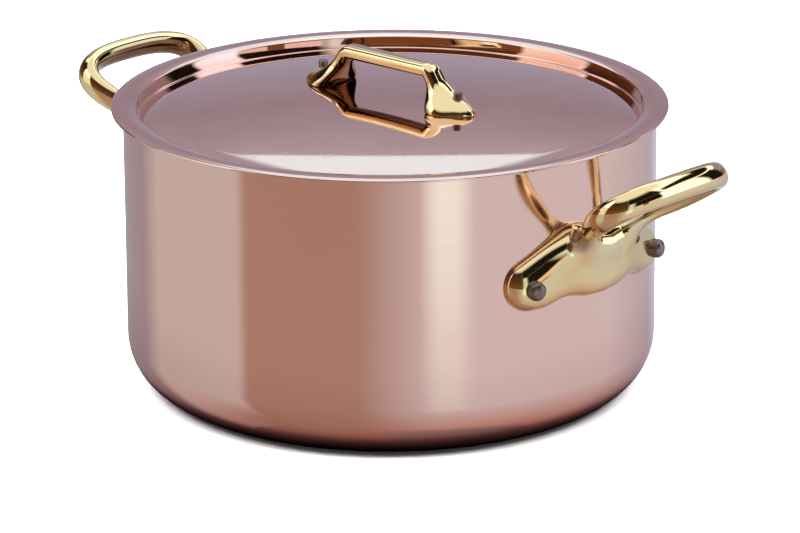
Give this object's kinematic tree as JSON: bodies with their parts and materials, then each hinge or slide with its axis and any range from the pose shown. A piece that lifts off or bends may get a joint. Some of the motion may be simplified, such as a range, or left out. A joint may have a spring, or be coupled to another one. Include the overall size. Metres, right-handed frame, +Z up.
{
  "type": "copper cocotte",
  "caption": "Round straight-sided copper cooking pot with a steel lining, riveted bronze loop handles and a lift-off domed lid with a bronze bridge handle.",
  "frame": {"origin": "centre of the flat base, on the surface that the pot stands on", "axes": "+Z up along the pot's axis, +X towards the right side handle, with the lid handle along X"},
  "size_m": [0.3426, 0.2536, 0.1554],
  "materials": {
    "copper": "satin brushed around the axis outside, near mirror on the lid",
    "steel_lining": "satin",
    "bronze": "polished casting",
    "rivet_steel": "dark satin"
  },
  "bodies": {
    "pot": {"pot_shell": "copper", "pot_lining": "steel_lining", "right_handle": "bronze", "left_handle": "bronze", "right_handle_rivet_front": "rivet_steel", "right_handle_rivet_back": "rivet_steel", "left_handle_rivet_back": "rivet_steel", "left_handle_rivet_front": "rivet_steel"},
    "lid": {"lid_shell": "copper", "lid_lining": "steel_lining", "lid_handle": "bronze", "lid_rivet_right": "rivet_steel", "lid_rivet_left": "rivet_steel"}
  },
  "joints": [
    {"name": "lid_lift", "type": "slide", "parent": "pot", "child": "lid", "axis": [0, 0, 1], "range_m": [0, 0.15]}
  ]
}
